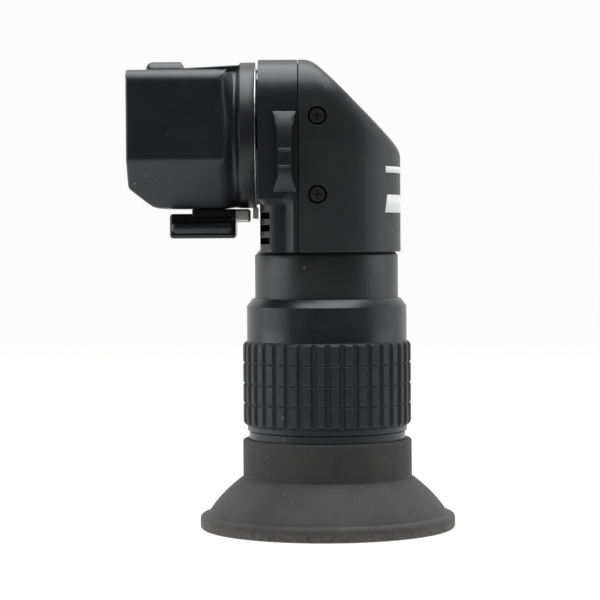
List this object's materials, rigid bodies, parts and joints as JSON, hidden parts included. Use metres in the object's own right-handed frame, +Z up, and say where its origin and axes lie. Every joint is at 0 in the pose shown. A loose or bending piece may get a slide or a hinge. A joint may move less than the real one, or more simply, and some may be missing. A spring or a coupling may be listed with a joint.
{
  "type": "right-angle finder",
  "caption": "Right-angle finder: a prism housing with a swivelling slide-on camera shoe, a magnification lever, a focusing ring and a rubber eyecup.",
  "frame": {"origin": "under the middle of the whole object, on the surface that the eyecup's rim stands on", "axes": "+Z up along the eyepiece axis, +X away from the camera along the optical axis, +Y to the side away from the magnification lever"},
  "size_m": [0.0566, 0.045, 0.082],
  "materials": {
    "casting_black": "satin black lacquer",
    "inner_black": "matt black anodised",
    "rubber": "matt, a little dusty",
    "bright_steel": "polished",
    "steel": "satin",
    "black_steel": "blackened screw",
    "brass": "turned",
    "glass": "coated optical glass",
    "felt": "grease-soaked felt"
  },
  "bodies": {
    "housing": {"prism_housing": "casting_black", "front_housing": "casting_black", "housing_screws": "black_steel", "roof_prism": "glass", "prism_cradle": "inner_black", "prism_clip": "steel", "prism_clip_screws": "steel", "objective_lens": "glass", "objective_cell": "inner_black", "neck_tube": "casting_black", "neck_nut": "inner_black", "field_stop": "inner_black", "guide_pins": "steel", "swivel_bush": "inner_black", "swivel_retainer": "inner_black", "front_window": "glass", "click_ball": "bright_steel", "click_spring": "steel", "lever_bush": "brass", "lever_washer": "steel"},
    "camera_shoe": {"adapter_block": "casting_black", "click_ring": "bright_steel", "click_ring_screws": "steel", "shoe_plate": "casting_black", "shoe_plate_screws": "steel", "rail_springs": "steel"},
    "lock": {"lock_tab": "casting_black", "lock_slider": "steel", "lock_screw": "steel"},
    "lever": {"magnifier_lever": "casting_black", "lever_shaft": "steel", "crank_plate": "steel", "crank_screw": "steel"},
    "magnifier": {"magnifier_carrier": "inner_black", "magnifier_front_lens": "glass", "magnifier_rear_lens": "glass", "magnifier_lock_ring": "inner_black"},
    "eyepiece": {"eyepiece_barrel": "inner_black", "field_lens": "glass", "lens_spacer": "inner_black", "eye_lens": "glass", "eyepiece_lock_ring": "inner_black", "focus_snap_ring": "steel", "eyecup_seat_ring": "inner_black", "eyecup": "rubber"},
    "focus_ring": {"focus_ring": "casting_black", "focus_seal": "felt"}
  },
  "joints": [
    {"name": "shoe_swivel", "type": "hinge", "parent": "housing", "child": "camera_shoe", "pos_m": [0.00585, 0, 0.0692], "axis": [1, 0, 0], "continuous": true},
    {"name": "lock_slide", "type": "slide", "parent": "camera_shoe", "child": "lock", "axis": [-1, 0, 0], "range_m": [0, 0.003]},
    {"name": "lever_turn", "type": "hinge", "parent": "housing", "child": "lever", "pos_m": [-0.00135, 0, 0.0658], "axis": [0, 1, 0], "range_deg": [0, 40]},
    {"name": "magnifier_slide", "type": "slide", "parent": "housing", "child": "magnifier", "axis": [1, 0, 0], "range_m": [0, 0.00232]},
    {"name": "focus_slide", "type": "slide", "parent": "housing", "child": "eyepiece", "axis": [0, 0, 1], "range_m": [-0.002, 0.005]},
    {"name": "focus_turn", "type": "hinge", "parent": "eyepiece", "child": "focus_ring", "pos_m": [0.00585, 0, 0.025], "axis": [0, 0, 1], "range_deg": [-60, 150]}
  ],
  "couplings": [
    {"joint": "lever_turn", "follows": "magnifier_slide", "rad_per_m": 300.2},
    {"joint": "focus_turn", "follows": "focus_slide", "rad_per_m": 523.59}
  ]
}
